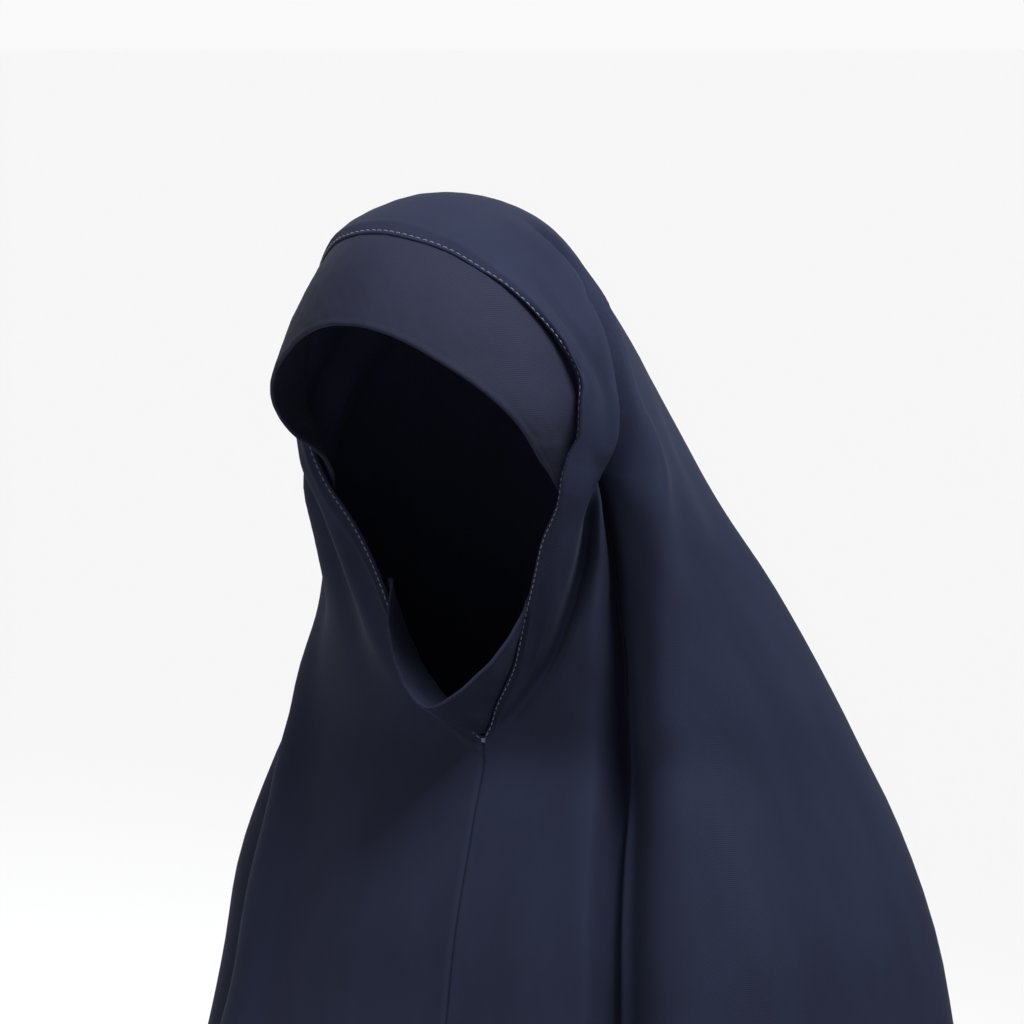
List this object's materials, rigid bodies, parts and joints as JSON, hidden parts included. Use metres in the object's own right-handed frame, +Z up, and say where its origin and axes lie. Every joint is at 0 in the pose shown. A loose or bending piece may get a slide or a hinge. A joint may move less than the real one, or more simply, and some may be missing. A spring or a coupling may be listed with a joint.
{
  "type": "instant hijab",
  "caption": "Slip-on head covering in its worn form: hood and cape in one cloth, closed down the front, with a brow band over the forehead and a panel under the chin.",
  "frame": {"origin": "the top of the hood's inside, where it sits on the crown of the head", "axes": "-Y is the way the face looks, +X the wearer's left, +Z up"},
  "size_m": [0.6066, 0.3591, 0.9293],
  "materials": {
    "cape_cloth": "matt navy crepe with a soft sheen",
    "band_cloth": "matt navy crepe, double layer with a fine twill",
    "panel_cloth": "matt navy crepe"
  },
  "bodies": {
    "root": {"cape": "cape_cloth", "brow_band": "band_cloth", "chin_panel": "panel_cloth"}
  },
  "joints": []
}
